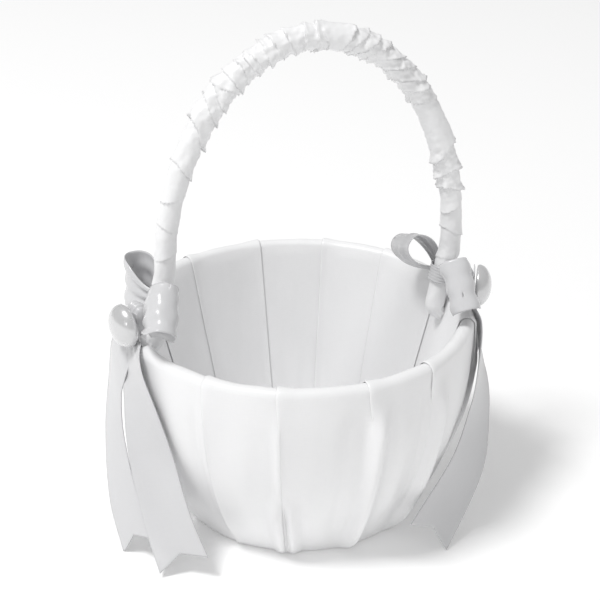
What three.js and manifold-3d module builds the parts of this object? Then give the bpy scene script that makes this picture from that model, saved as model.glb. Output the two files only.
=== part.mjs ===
// A flower girl basket: a padded wire bowl under white satin, a ruched handle, and two pearl bows.
// Millimetres, +Z up, origin at the centre of the base where it stands. The handle arches along X.
import * as THREE from "three";
import { mergeVertices } from "three/addons/utils/BufferGeometryUtils.js";
import Module from "manifold-3d";

// ---- Driving dimensions ----
const CLEARANCE = 0.3; // between any two pieces that touch
const FACET_SLACK = 0.1; // extra room where a piece runs inside another one's flats
const SATIN = 0.6; // one thickness of cover satin
const PADDING = 1.0; // batting between the wire frame and the satin
const PADDING_END = 0.2; // radians short of half a turn where it stops inside the lip
const FRAME_WIRE = 2.0; // diameter of the hoops and ribs
const BOWL_HEIGHT = 89.5; // table to the top of the lip
const BOWL_WIDTH = 150; // across the outside of the lip
const BASE_WIDTH = 104; // across the hem where it stands
const HEM_FLARE = 2.5; // from the base hoop out to the hem
const SIDE_LOWER = new THREE.Vector2(0.56, 0.26); // shares of the way to the rim where the side flares
const SIDE_UPPER = 0.52; // share of the height below which it turns upright
const SIDE_BELLY = 1.2; // how far it swells past the rim hoop there
const FLOOR_WIDTH = 92.8; // across the bottom of the lining
const WAIST_BELOW = 7; // from the handle wire's end down to the middle hoop
const RIB_COUNT = 8;
const UNDER_SATIN = 0.6; // satin disc glued under the board
const BOARD = 2.0; // cardboard of the base
const FLOOR_PAD = 3.0; // covered card that lies on the floor

const HANDLE_RISE = 206.5; // table to the middle of the handle at its crown
const LEG_INSET = 13; // from the outside of the lip in to the middle of each leg
const SPRING_ABOVE = 22.5; // from the top of the lip up to where the legs turn into the arch
const HANDLE_OFFSET = 5.3; // the handle sits this far towards +X at the spring line
const HANDLE_LEAN = 0.0286; // and leans further that way by this much for each mm it rises
const HANDLE_WIRE = 2.6; // diameter
const HANDLE_PAD = 2.3; // foam round the handle wire
const SLEEVE = 0.8; // ruched satin round the foam
const SLEEVE_TUCK = 6.5; // from the top of the lip down to the sleeve's foot
const FOOT_GAP = 1.0; // between the sleeve's foot and the lining
const WIRE_REACH = 31; // from the sleeve's foot down to the wire's end, beside a rib
const WIRE_ENTRY = 12; // how far below the sleeve the wire has come over to its rib
const WIRE_SLIP = new THREE.Vector2(1.2, 3); // outwards and down, where it leaves the sleeve
const BINDING_DROP = 21; // from the sleeve's foot down to the tape that binds the wire to its rib
const BINDING_LENGTH = 6;
const BINDING = 0.5; // thickness of that tape

const RIBBON_WIDTH = 22;
const RIBBON = 0.8; // thickness of the bow ribbon
const KNOT = { along: 10, deep: 8, tall: 14 }; // the bow's knot
const KNOT_INSET = 4.7; // from the outside of the lip in to the middle of the knot
const KNOT_FORWARD = 11.2; // from the handle towards the front
const KNOT_ABOVE = 8.5; // above the top of the lip
const BOW_TURN = 65.8; // degrees the bow faces round from the front
const KNOT_TAB_WIDTH = 12; // flat ribbon under the pearl, where the tails start
const KNOT_TAB_DEPTH = 7; // from the middle of the knot down to the tab's end
const TIE_HEIGHT = 7; // the ribbon that ties the bow to the handle leg
const TIE_OPEN = 0.3; // radians, half of its opening towards the knot
const LOOP_GAP = 12; // widest opening of a bow loop
const LOOP_SET_OFF = 2.8; // from the knot to where a loop's folded ribbon starts
const LOOP_ROOT = 0.42; // share of the ribbon's width where a loop enters the knot
const LOOP_FAN = 0.6; // share of its length over which it opens to the full width
const LOOP_BELLY = 0.45; // share of its length where it is fullest
const LOOP_PINCH = 0.12; // how nearly its two ends close, as a share of its belly

// A front loop's tip is outwards from the knot, towards the back and up. A back loop starts beside the tie
// round the handle leg: some degrees round from straight outwards, so much less than half its gathered width
// out, and some way up. Its reach runs outwards, back and up from there. Every loop is turned about its own
// length by some degrees.
const LOOPS = {
  left_front_loop: { tip: [-10.3, -19.8, 11], turn: -32 },
  left_back_loop: { round: 76.891, lap: 3.4246, rise: 0, reach: [5.3, 21.7, 4.5], turn: 0 },
  right_front_loop: { tip: [-10.3, -19.8, 11], turn: 20 },
  right_back_loop: { round: 103.392, lap: 0.1265, rise: 0.5, reach: [-15.5, 2.5, 11.5], turn: 40 },
};
const LOOP_OVER_LIP = 2.5; // a back loop's lower edge at the leg, below the top of the lip
const PEARL_WIDTH = 18;
const PEARL_DOME = 6;
const TAIL_DROP = 1.9; // from the tab's end to the middle of a tail's top edge
const TAIL_ROOT = 5; // gathered width of a tail at the knot
const TAIL_SPREAD = 26; // distance over which it opens to the full width
const TAIL_NOTCH = 7; // depth of the swallowtail
const NOTCH_FROM = 0.8; // share of a tail's length where its rows start to bend towards the notch

// Each tail's middle line: share of the way down from its root, angle round from the front, and distance
// beyond the outside of the lip; then the height of its lower end.
const TAILS = {
  left_front_tail: {
    line: [
      [0.115, -74, 2.2],
      [0.286, -69, 3],
      [0.543, -64, 3.6],
      [0.8, -57, 4.4],
      [1, -49.5, 5.5],
    ],
    end: 7.6,
  },
  left_back_tail: {
    line: [
      [0.114, -85, 3.6],
      [0.283, -87.5, 5.6],
      [0.538, -84, 8],
      [0.816, -77, 9.6],
      [1, -70, 11],
    ],
    end: 6.8,
  },
  right_front_tail: {
    line: [
      [0.116, 74, 2.2],
      [0.289, 68.5, 3],
      [0.512, 63, 3.6],
      [0.759, 53, 3.6],
      [1, 38.5, 1.5],
    ],
    end: 8.5,
  },
  right_back_tail: {
    line: [
      [0.112, 85, 3.4],
      [0.277, 89.5, 3.4],
      [0.526, 94, 1],
      [0.775, 98, -3.5],
      [1, 101, -8.5],
    ],
    end: 5,
  },
};

// ---- How finely the curves are cut ----
const RING_STEPS = 40; // round the bowl, the same for every ring so that nested rings keep their gaps
const SIDE_STEPS = 7; // from the foot of the bowl to its rim
const LIP_STEPS = 6; // over the lip
const HANDLE_STEPS = 36;
const WIRE_STEPS = 1.5 * HANDLE_STEPS; // the wire is longer than the sleeve
const ARCH_STEPS = 16; // points that the arch is drawn through
const RIB_STEPS = 10;
const RIB_POINTS = 8;
const TAIL_STEPS = 14;
const LOOP_STEPS = 10;
const PEARL_STEPS = 6;
const PEARL_SIDES = 20;
const BEZIER_PEAK = 0.75; // a cubic's middle reaches this share of the way to its control points

// ---- Sizes that follow from them ----
const LIP = FRAME_WIRE / 2 + 2 * CLEARANCE + PADDING + SATIN; // radius of the rolled lip
const RIM = new THREE.Vector2(BOWL_WIDTH / 2 - LIP, BOWL_HEIGHT - LIP); // middle of the rim hoop
const BOARD_BASE = UNDER_SATIN + CLEARANCE;
const BOARD_TOP = BOARD_BASE + BOARD;
const FOOT = new THREE.Vector2(BASE_WIDTH / 2 - HEM_FLARE, BOARD_BASE + FRAME_WIRE / 2 + CLEARANCE);
const FLOOR = new THREE.Vector2(FLOOR_WIDTH / 2, BOARD_TOP + CLEARANCE);
const SLEEVE_BORE = HANDLE_WIRE / 2 + HANDLE_PAD + 2 * CLEARANCE + FACET_SLACK;
const SLEEVE_RADIUS = SLEEVE_BORE + SLEEVE;
const TIE_BORE = SLEEVE_RADIUS + CLEARANCE + FACET_SLACK;
const KNOT_PLACE = new THREE.Vector3(BOWL_WIDTH / 2 - KNOT_INSET, -KNOT_FORWARD, BOWL_HEIGHT + KNOT_ABOVE);
const HANDLE_SPRING = BOWL_HEIGHT + SPRING_ABOVE;
const HANDLE_HALF = BOWL_WIDTH / 2 - LEG_INSET;
const SLEEVE_FOOT = BOWL_HEIGHT - SLEEVE_TUCK;
const BINDING_HEIGHT = SLEEVE_FOOT - BINDING_DROP;
const WIRE_END = SLEEVE_FOOT - WIRE_REACH;
const WAIST_HEIGHT = WIRE_END - WAIST_BELOW;
const WIRE_BESIDE_RIB = FRAME_WIRE / 2 + HANDLE_WIRE / 2 + CLEARANCE + FACET_SLACK; // between their middles

const WHITE_SATIN = new THREE.MeshStandardMaterial({ color: 0xf4f3f1, roughness: 0.42 });
const LINING_SATIN = new THREE.MeshStandardMaterial({ color: 0xefeeec, roughness: 0.5 });
const RIBBON_SATIN = new THREE.MeshStandardMaterial({ color: 0xe9e9e8, roughness: 0.28 });
const BATTING = new THREE.MeshStandardMaterial({ color: 0xf7f6f2, roughness: 0.95 });
const CARD = new THREE.MeshStandardMaterial({ color: 0xd9d2c2, roughness: 0.9 });
const STEEL_WIRE = new THREE.MeshStandardMaterial({ color: 0xb9bcc0, roughness: 0.35, metalness: 1 });
const TAPE = new THREE.MeshStandardMaterial({ color: 0xe6e4dc, roughness: 0.8 });
const PEARL = new THREE.MeshStandardMaterial({ color: 0xf1efec, roughness: 0.12 });

const wasm = await Module();
wasm.setup();

const basket = new THREE.Group();

function addPart(name, geometry, material) {
  const mesh = new THREE.Mesh(geometry, material);
  mesh.name = name;
  basket.add(mesh);
  return mesh;
}

function toSolid(geometry) {
  const bare = geometry.index ? geometry.toNonIndexed() : geometry.clone();
  bare.deleteAttribute("normal");
  bare.deleteAttribute("uv");
  const merged = mergeVertices(bare, 1e-4);
  return new wasm.Manifold(
    new wasm.Mesh({
      numProp: 3,
      vertProperties: new Float32Array(merged.attributes.position.array),
      triVerts: new Uint32Array(merged.index.array),
    }),
  );
}

function toGeometry(solid) {
  const mesh = solid.getMesh();
  const geometry = new THREE.BufferGeometry();
  geometry.setAttribute("position", new THREE.BufferAttribute(mesh.vertProperties, 3));
  geometry.setIndex(new THREE.BufferAttribute(mesh.triVerts, 1));
  geometry.computeVertexNormals();
  return geometry;
}

// Turns a closed outline of (radius, height) points round the Z axis; the outline runs anticlockwise.
function turned(outline) {
  const geometry = new THREE.LatheGeometry([...outline, outline[0]], RING_STEPS);
  return geometry.rotateX(Math.PI / 2);
}

function circle(radius) {
  const shape = new THREE.Shape();
  shape.absarc(0, 0, radius, 0, 2 * Math.PI);
  return shape;
}

function tube(path, radius, steps, sides, bore = 0) {
  const section = circle(radius);
  if (bore) {
    section.holes.push(circle(bore));
  }
  return new THREE.ExtrudeGeometry(section, { steps, curveSegments: sides, extrudePath: path });
}

// Halves a range until it holds the value where a rising measure reaches its goal.
function whereReached(measure, goal, from, to) {
  let low = from;
  let high = to;
  for (let i = 0; i < 30; i += 1) {
    const middle = (low + high) / 2;
    if (measure(middle) < goal) {
      low = middle;
    } else {
      high = middle;
    }
  }
  return low;
}

// ---- The bowl's side: one curve that the ribs, the padding and the satin all follow ----
const side = new THREE.CubicBezierCurve(
  FOOT,
  FOOT.clone().add(RIM.clone().sub(FOOT).multiply(SIDE_LOWER)),
  new THREE.Vector2(RIM.x + SIDE_BELLY, FOOT.y + SIDE_UPPER * (RIM.y - FOOT.y)),
  RIM,
);

// The side curve moved outwards by a distance, from the foot to the rim.
function sideOffset(distance) {
  return Array.from({ length: SIDE_STEPS + 1 }, (_, i) => {
    const point = side.getPoint(i / SIDE_STEPS);
    const along = side.getTangent(i / SIDE_STEPS);
    return new THREE.Vector2(point.x + distance * along.y, point.y - distance * along.x);
  });
}

function sideRadiusAt(height) {
  return side.getPoint(whereReached((t) => side.getPoint(t).y, height, 0, 1)).x;
}

// The lining runs straight from the floor to where it touches the lip.
const toRim = RIM.clone().sub(FLOOR);
const LINING_SLOPE = Math.atan2(toRim.x, toRim.y) - Math.asin(LIP / toRim.length());

// Round the rim hoop, from the outside over the top to where the lining leaves it.
function lipArc(radius, turn) {
  return Array.from({ length: LIP_STEPS + 1 }, (_, i) => {
    const angle = (turn * i) / LIP_STEPS;
    return new THREE.Vector2(RIM.x + radius * Math.cos(angle), RIM.y + radius * Math.sin(angle));
  });
}

function liningRadiusAt(height, inset = 0) {
  return FLOOR.x + inset / Math.cos(LINING_SLOPE) + (height - FLOOR.y) * Math.tan(LINING_SLOPE);
}

// The middle of the sleeve's foot, just clear of the lining.
const FOOT_SPREAD = liningRadiusAt(SLEEVE_FOOT) - SLEEVE_RADIUS - FOOT_GAP;

// ---- Wire frame ----
function addHoop(name, place) {
  const hoop = new THREE.TorusGeometry(place.x, FRAME_WIRE / 2, 6, RING_STEPS);
  addPart(name, hoop.translate(0, 0, place.y), STEEL_WIRE);
}

function addFrame() {
  const inside = FRAME_WIRE + CLEARANCE;
  addHoop("rim_hoop", RIM);
  addHoop("waist_hoop", new THREE.Vector2(sideRadiusAt(WAIST_HEIGHT) - inside, WAIST_HEIGHT));
  addHoop("base_hoop", FOOT);

  const trim = (FRAME_WIRE / 2 + CLEARANCE) / side.getLength();
  const flat = Array.from({ length: RIB_POINTS + 1 }, (_, i) =>
    side.getPointAt(trim + ((1 - 2 * trim) * i) / RIB_POINTS),
  );
  const path = new THREE.CatmullRomCurve3(flat.map((p) => new THREE.Vector3(p.x, 0, p.y)));
  for (let i = 0; i < RIB_COUNT; i += 1) {
    const rib = addPart(`rib_${i + 1}`, tube(path, FRAME_WIRE / 2, RIB_STEPS, 3), STEEL_WIRE);
    rib.rotation.z = (2 * Math.PI * i) / RIB_COUNT;
  }
}

// ---- Base ----
function addDisc(name, radius, low, thickness, material) {
  const disc = new THREE.CylinderGeometry(radius, radius, thickness, RING_STEPS).rotateX(Math.PI / 2);
  addPart(name, disc.translate(0, 0, low + thickness / 2), material);
}

function addBase() {
  addDisc("underside_cover", BASE_WIDTH / 2 - SATIN - 2 * CLEARANCE, 0, UNDER_SATIN, LINING_SATIN);
  addDisc("base_board", FOOT.x - FRAME_WIRE / 2 - CLEARANCE, BOARD_BASE, BOARD, CARD);
  addDisc("floor_pad", FLOOR.x - CLEARANCE, FLOOR.y, FLOOR_PAD, LINING_SATIN);
}

// ---- Padding and satin of the bowl ----
function addPadding() {
  const inner = FRAME_WIRE / 2 + CLEARANCE;
  const outer = inner + PADDING;
  const wrap = Math.PI - PADDING_END; // how far the padding goes over the rim hoop
  const outline = [
    ...sideOffset(outer),
    ...lipArc(outer, wrap).slice(1),
    ...lipArc(inner, wrap).reverse(),
    ...sideOffset(inner).reverse().slice(1),
  ];
  let padding = toSolid(turned(outline));
  for (const turn of [0, Math.PI]) {
    const { space } = bindingSpace(3 * CLEARANCE + BINDING, BINDING_LENGTH + 2 * CLEARANCE);
    padding = padding.subtract(toSolid(space.rotateZ(turn)));
  }
  addPart("side_padding", toGeometry(padding), BATTING);
}

function addCover(holes) {
  const turn = Math.PI - LINING_SLOPE;
  const inner = LIP - SATIN;
  const hem = BASE_WIDTH / 2;
  const outline = [
    new THREE.Vector2(hem, 0),
    ...sideOffset(LIP),
    ...lipArc(LIP, turn).slice(1),
    FLOOR,
    new THREE.Vector2(liningRadiusAt(FLOOR.y, SATIN), FLOOR.y),
    ...lipArc(inner, turn).reverse(),
    ...sideOffset(inner).reverse().slice(1),
    new THREE.Vector2(hem - SATIN, 0),
  ];
  let cover = toSolid(turned(outline));
  for (const hole of holes) {
    cover = cover.subtract(toSolid(hole));
  }
  addPart("satin_cover", toGeometry(cover), WHITE_SATIN);
}

// ---- Handle ----
function handleShift(height) {
  return HANDLE_OFFSET + (height - HANDLE_SPRING) * HANDLE_LEAN;
}

// Half an ellipse between the legs, from the left spring point to the right one.
function handleArch(steps) {
  return Array.from({ length: steps + 1 }, (_, i) => {
    const angle = Math.PI * (1 - i / steps);
    const height = HANDLE_SPRING + (HANDLE_RISE - HANDLE_SPRING) * Math.sin(angle);
    const across = HANDLE_HALF * Math.cos(angle);
    return new THREE.Vector3(handleShift(height) + across, 0, height);
  });
}

// The sleeve's leg on one side: up from its foot, past the lip, to just below the spring line.
function handleLeg(sign) {
  const foot = new THREE.Vector3(sign * FOOT_SPREAD, 0, SLEEVE_FOOT);
  const top = handleShift(HANDLE_SPRING) + sign * HANDLE_HALF;
  const spring = new THREE.Vector3(top, 0, HANDLE_SPRING);
  return [foot, foot.clone().lerp(spring, 1 / 3), foot.clone().lerp(spring, 2 / 3)];
}

// Below the sleeve the wire slips through the lining and runs down beside a rib.
function wireLeg(sign) {
  const besideTape = BINDING_LENGTH / 2 + 1;
  const taped = [BINDING_HEIGHT - besideTape, BINDING_HEIGHT + besideTape];
  const heights = [WIRE_END, ...taped, SLEEVE_FOOT - WIRE_ENTRY];
  const down = heights.map((z) => new THREE.Vector3(sign * (sideRadiusAt(z) - WIRE_BESIDE_RIB), 0, z));
  return [...down, new THREE.Vector3(sign * (FOOT_SPREAD + WIRE_SLIP.x), 0, SLEEVE_FOOT - WIRE_SLIP.y)];
}

function handlePath() {
  const arch = handleArch(ARCH_STEPS);
  return new THREE.CatmullRomCurve3([...handleLeg(-1), ...arch, ...handleLeg(1).reverse()]);
}

function handleWirePath() {
  const sleeve = handlePath().points;
  return new THREE.CatmullRomCurve3([...wireLeg(-1), ...sleeve, ...wireLeg(1).reverse()]);
}

function addHandle() {
  const sleevePath = handlePath();
  const wirePath = handleWirePath();
  const padBore = HANDLE_WIRE / 2 + 3 * CLEARANCE;
  const padRadius = HANDLE_WIRE / 2 + HANDLE_PAD;
  addPart("handle_wire", tube(wirePath, HANDLE_WIRE / 2, WIRE_STEPS, 3), STEEL_WIRE);
  addPart("handle_padding", tube(sleevePath, padRadius, HANDLE_STEPS, 4, padBore), BATTING);
  addPart("handle_sleeve", tube(sleevePath, SLEEVE_RADIUS, HANDLE_STEPS, 6, SLEEVE_BORE), WHITE_SATIN);
}

// The space round the handle wire and the rib beside it, grown by a margin on every side.
function bindingSpace(margin, length, holes = []) {
  const rib = sideRadiusAt(BINDING_HEIGHT);
  const section = new THREE.Shape();
  section.absarc(rib, 0, FRAME_WIRE / 2 + margin, -Math.PI / 2, Math.PI / 2);
  section.absarc(rib - WIRE_BESIDE_RIB, 0, HANDLE_WIRE / 2 + margin, Math.PI / 2, 1.5 * Math.PI);
  section.closePath();
  section.holes = holes;
  const settings = { depth: length, bevelEnabled: false, curveSegments: 6 };
  const space = new THREE.ExtrudeGeometry(section, settings);
  space.translate(0, 0, BINDING_HEIGHT - length / 2);
  return { section, space };
}

// A band of tape, half a turn round for the left one.
function addBinding(name, turn) {
  const { section } = bindingSpace(2 * CLEARANCE, BINDING_LENGTH);
  const { space } = bindingSpace(2 * CLEARANCE + BINDING, BINDING_LENGTH, [section]);
  addPart(name, space, TAPE).rotation.z = turn;
}

// ---- Bows ----
const UP = new THREE.Vector3(0, 0, 1);

// Directions of the bow on one side: outwards from it, and along it towards the front.
function bowAxes(sign) {
  const turn = THREE.MathUtils.degToRad(BOW_TURN);
  return {
    out: new THREE.Vector3(sign * Math.sin(turn), -Math.cos(turn), 0),
    forward: new THREE.Vector3(-sign * Math.cos(turn), -Math.sin(turn), 0),
  };
}

function mirrored(point, sign) {
  return new THREE.Vector3(sign * point.x, point.y, point.z);
}

// Places a geometry made about the origin so that its x, y and z axes lie along the ones given.
function placed(geometry, xAxis, yAxis, zAxis, at) {
  const frame = new THREE.Matrix4().makeBasis(xAxis, yAxis, zAxis).setPosition(at);
  if (frame.determinant() < 0) {
    throw new Error("axes must be right-handed");
  }
  return geometry.applyMatrix4(frame);
}

function frameAlong(direction, facing) {
  const x = direction.clone().normalize();
  const y = facing.clone().addScaledVector(x, -facing.dot(x)).normalize();
  return { x, y, z: x.clone().cross(y) };
}

// A ribbon loop: a teardrop band that fans out from the knot to the full ribbon width.
function loopGeometry(length) {
  const half = LOOP_GAP / 2 / BEZIER_PEAK;
  const outline = (gap, near, far) => {
    const shape = new THREE.Shape();
    shape.moveTo(near, -gap * LOOP_PINCH);
    shape.bezierCurveTo(LOOP_BELLY * length, -gap, far, -gap, far, 0);
    shape.bezierCurveTo(far, gap, LOOP_BELLY * length, gap, near, gap * LOOP_PINCH);
    shape.closePath();
    return shape;
  };
  const section = outline(half, 0, length);
  section.holes.push(outline(half - RIBBON / BEZIER_PEAK, 3 * RIBBON, length - RIBBON));
  const band = new THREE.ExtrudeGeometry(section, {
    depth: RIBBON_WIDTH,
    steps: 2,
    bevelEnabled: false,
    curveSegments: LOOP_STEPS,
  });
  band.translate(0, 0, -RIBBON_WIDTH / 2);
  const place = band.attributes.position;
  for (let i = 0; i < place.count; i += 1) {
    const fan = Math.min(1, LOOP_ROOT + (1 - LOOP_ROOT) * (place.getX(i) / (LOOP_FAN * length)));
    place.setZ(i, place.getZ(i) * fan);
  }
  return band;
}

// An offset on one side of the basket: outwards from the bowl, towards the back and up.
function offset(sign, [outwards, back, up]) {
  return new THREE.Vector3(sign * outwards, back, up);
}

function addLoop(name, sign) {
  const { tip, turn } = LOOPS[name];
  const root = tip ? frontLoopRoot(sign) : backLoopRoot(sign, LOOPS[name]);
  const toTip = tip && mirrored(KNOT_PLACE, sign).add(offset(sign, tip)).sub(root);
  const reach = toTip || offset(sign, LOOPS[name].reach);
  const axes = frameAlong(reach, bowAxes(sign).out);
  const loop = loopGeometry(reach.length()).rotateX(THREE.MathUtils.degToRad(turn));
  addPart(name, placed(loop, axes.x, axes.y, axes.z, root), RIBBON_SATIN);
}

// A back loop starts beside the tie, high enough for its own width to stay over the lip.
function backLoopRoot(sign, { round, lap, rise }) {
  const angle = THREE.MathUtils.degToRad(round);
  const out = TIE_BORE + RIBBON + (LOOP_ROOT * RIBBON_WIDTH) / 2 - lap;
  const root = legAt(sign).place.add(offset(sign, [out * Math.cos(angle), out * Math.sin(angle), 0]));
  root.z = BOWL_HEIGHT + RIBBON_WIDTH / 2 - LOOP_OVER_LIP + rise;
  return root;
}

// The front loop leaves the knot's front end.
function frontLoopRoot(sign) {
  const { forward } = bowAxes(sign);
  return mirrored(KNOT_PLACE, sign).addScaledVector(forward, KNOT.along / 2 + LOOP_SET_OFF);
}

function addKnot(name, sign) {
  const { out } = bowAxes(sign);
  const ball = new THREE.SphereGeometry(0.5, 12, 8).scale(KNOT.along, KNOT.deep, KNOT.tall);
  const tab = new THREE.BoxGeometry(KNOT_TAB_WIDTH, RIBBON, KNOT_TAB_DEPTH);
  tab.translate(0, KNOT.deep / 2 + RIBBON / 4, -KNOT_TAB_DEPTH / 2);
  const joined = toGeometry(toSolid(ball).add(toSolid(tab)));
  addPart(name, placed(joined, out.clone().cross(UP), out, UP, mirrored(KNOT_PLACE, sign)), RIBBON_SATIN);
}

function addPearl(name, sign) {
  const { out } = bowAxes(sign);
  const lift = KNOT.deep / 2 + RIBBON + 2 * CLEARANCE;
  const dome = Array.from({ length: PEARL_STEPS + 1 }, (_, i) => {
    const angle = (Math.PI / 2) * (i / PEARL_STEPS);
    return new THREE.Vector2((PEARL_WIDTH / 2) * Math.cos(angle), PEARL_DOME * Math.sin(angle));
  });
  dome[PEARL_STEPS].x = 0;
  const pearl = new THREE.LatheGeometry([new THREE.Vector2(0, 0), ...dome], PEARL_SIDES);
  const at = mirrored(KNOT_PLACE, sign).addScaledVector(out, lift);
  addPart(name, placed(pearl, out.clone().cross(UP), out, UP, at), PEARL);
}

// The handle leg at the height of the knot: its middle and its upward direction.
function legAt(sign) {
  const path = handlePath();
  const fromFoot = (t) => (sign < 0 ? t : 1 - t);
  const risen = (t) => path.getPoint(fromFoot(t)).z;
  const knot = fromFoot(whereReached(risen, KNOT_PLACE.z, 0, 0.5));
  return { place: path.getPoint(knot), up: path.getTangent(knot).multiplyScalar(-sign) };
}

// The ribbon that passes round the handle leg and holds the knot.
function addTie(name, sign) {
  const leg = legAt(sign);
  const toKnot = mirrored(KNOT_PLACE, sign).sub(leg.place);
  const axes = frameAlong(leg.up, toKnot);
  const end = toKnot.dot(axes.y) - KNOT.deep / 2 - 2 * CLEARANCE;
  const section = new THREE.Shape();
  section.absarc(0, 0, TIE_BORE + RIBBON, TIE_OPEN, 2 * Math.PI - TIE_OPEN);
  section.lineTo(end, -RIBBON);
  section.lineTo(end, RIBBON);
  section.closePath();
  section.holes.push(circle(TIE_BORE));
  const settings = { depth: TIE_HEIGHT, bevelEnabled: false, curveSegments: LOOP_STEPS };
  const band = new THREE.ExtrudeGeometry(section, settings).translate(0, 0, -TIE_HEIGHT / 2);
  addPart(name, placed(band, axes.y, axes.z, axes.x, leg.place), RIBBON_SATIN);
}

function polar(height, angle, radius) {
  const turn = THREE.MathUtils.degToRad(angle);
  return new THREE.Vector3(radius * Math.sin(turn), -radius * Math.cos(turn), height);
}

// Where a tail starts, just under the knot's tab.
function tailRoot(sign, along) {
  const { out, forward } = bowAxes(sign);
  const root = mirrored(KNOT_PLACE, sign);
  root.addScaledVector(out, KNOT.deep / 2 + RIBBON / 4);
  root.addScaledVector(forward, along * (TAIL_ROOT / 2 + CLEARANCE));
  root.z -= KNOT_TAB_DEPTH + TAIL_DROP;
  return root;
}

// A flat ribbon that follows a middle line, gathered at the top and notched at the bottom.
function addTail(name, sign, along) {
  const root = tailRoot(sign, along);
  const { line, end } = TAILS[name];
  const stations = line.map(([share, angle, beyond]) =>
    polar(root.z + (end - root.z) * share, angle, BOWL_WIDTH / 2 + beyond),
  );
  const path = new THREE.CatmullRomCurve3([root, ...stations]);
  const length = path.getLength();
  const strip = new THREE.BoxGeometry(1, RIBBON, 1, 2, 1, TAIL_STEPS);
  const place = strip.attributes.position;
  const { out } = bowAxes(sign);
  for (let i = 0; i < place.count; i += 1) {
    const edge = place.getX(i) * 2;
    const share = place.getZ(i) + 0.5;
    const opened = THREE.MathUtils.smoothstep(share * length, 0, TAIL_SPREAD);
    const half = (TAIL_ROOT + (RIBBON_WIDTH - TAIL_ROOT) * opened) / 2;
    const towardsNotch = Math.max(0, (share - NOTCH_FROM) / (1 - NOTCH_FROM));
    const notch = (1 - Math.abs(edge)) * TAIL_NOTCH * towardsNotch;
    const u = Math.min(1, share - notch / length);
    const middle = path.getPointAt(u);
    const down = path.getTangentAt(u);
    const radial = new THREE.Vector3(middle.x, middle.y, 0).normalize();
    const facing = out.clone().lerp(radial, opened);
    facing.addScaledVector(down, -facing.dot(down)).normalize();
    const across = facing.clone().cross(down);
    middle.addScaledVector(across, edge * half).addScaledVector(facing, place.getY(i));
    place.setXYZ(i, middle.x, middle.y, middle.z);
  }
  addPart(name, strip, RIBBON_SATIN);
}

function addBow(sideName, sign) {
  addTie(`${sideName}_tie`, sign);
  addKnot(`${sideName}_knot`, sign);
  addPearl(`${sideName}_pearl`, sign);
  addLoop(`${sideName}_front_loop`, sign);
  addLoop(`${sideName}_back_loop`, sign);
  addTail(`${sideName}_front_tail`, sign, 1);
  addTail(`${sideName}_back_tail`, sign, -1);
}

addFrame();
addBase();
addPadding();
addHandle();
const wireHole = HANDLE_WIRE / 2 + CLEARANCE + FACET_SLACK;
addCover([tube(handleWirePath(), wireHole, WIRE_STEPS, 4)]);
addBinding("left_wire_binding", Math.PI);
addBinding("right_wire_binding", 0);
addBow("left", -1);
addBow("right", 1);

export default basket;
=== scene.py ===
import math
import random

import bpy
from bpy.props import FloatProperty, FloatVectorProperty, IntProperty, PointerProperty
from mathutils import Matrix, Vector, noise


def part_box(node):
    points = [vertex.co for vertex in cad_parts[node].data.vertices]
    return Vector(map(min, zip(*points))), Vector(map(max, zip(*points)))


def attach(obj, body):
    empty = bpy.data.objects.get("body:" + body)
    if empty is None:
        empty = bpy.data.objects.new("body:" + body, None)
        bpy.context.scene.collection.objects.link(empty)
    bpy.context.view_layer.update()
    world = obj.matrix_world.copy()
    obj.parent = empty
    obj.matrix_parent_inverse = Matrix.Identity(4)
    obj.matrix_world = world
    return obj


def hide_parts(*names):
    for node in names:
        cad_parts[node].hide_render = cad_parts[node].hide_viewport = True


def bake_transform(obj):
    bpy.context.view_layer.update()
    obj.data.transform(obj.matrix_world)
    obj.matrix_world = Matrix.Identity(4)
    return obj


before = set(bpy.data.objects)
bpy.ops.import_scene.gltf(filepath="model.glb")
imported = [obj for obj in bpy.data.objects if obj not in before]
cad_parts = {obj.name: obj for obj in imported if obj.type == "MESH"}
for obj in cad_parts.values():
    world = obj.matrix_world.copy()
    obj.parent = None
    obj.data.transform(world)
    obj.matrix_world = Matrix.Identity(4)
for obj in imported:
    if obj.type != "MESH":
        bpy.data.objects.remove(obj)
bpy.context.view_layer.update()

bl_info = {
    "name": "Flower Girl Basket",
    "version": (1, 0, 0),
    "blender": (4, 5, 0),
    "location": "View3D > Sidebar > Basket",
    "description": "Pleated satin bowl, ruched handle and pearl bows round a wire basket",
    "category": "Object",
}

MM = 0.001
UP = Vector((0, 0, 1))
BASKET = "basket"

# ---- Sizes that the frame settles, in millimetres ----
CLOTH_EASE = 0.3  # space between any two pieces
LIP = 3.2  # radius of the rolled lip
cover_low, cover_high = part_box("satin_cover")
pad_low, pad_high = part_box("floor_pad")
RIM_RADIUS = cover_high[0] / MM - LIP
RIM_HEIGHT = cover_high[2] / MM - LIP
HEM_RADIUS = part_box("underside_cover")[1][0] / MM + 1.2
FOOT_RADIUS = HEM_RADIUS - 2.5
FOOT_HEIGHT = 2.2
FLOOR_RADIUS = pad_high[0] / MM + CLOTH_EASE
FLOOR_HEIGHT = pad_low[2] / MM
PAD_TOP = pad_high[2] / MM

# The handle's middle line: two straight legs and half an ellipse that leans a little to one side.
HANDLE_SPRING = 112.0
HANDLE_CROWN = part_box("handle_sleeve")[1][2] / MM - 5.1
HANDLE_HALF = 62.0
HANDLE_OFFSET = 5.3
HANDLE_LEAN = 0.0286
SLEEVE_FOOT = Vector((61.5, 0, 83))
SLEEVE_TUCK = [Vector((65.9, 0, 75.6)), Vector((63.6, 0, 79.0))]  # down into the lining

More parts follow.
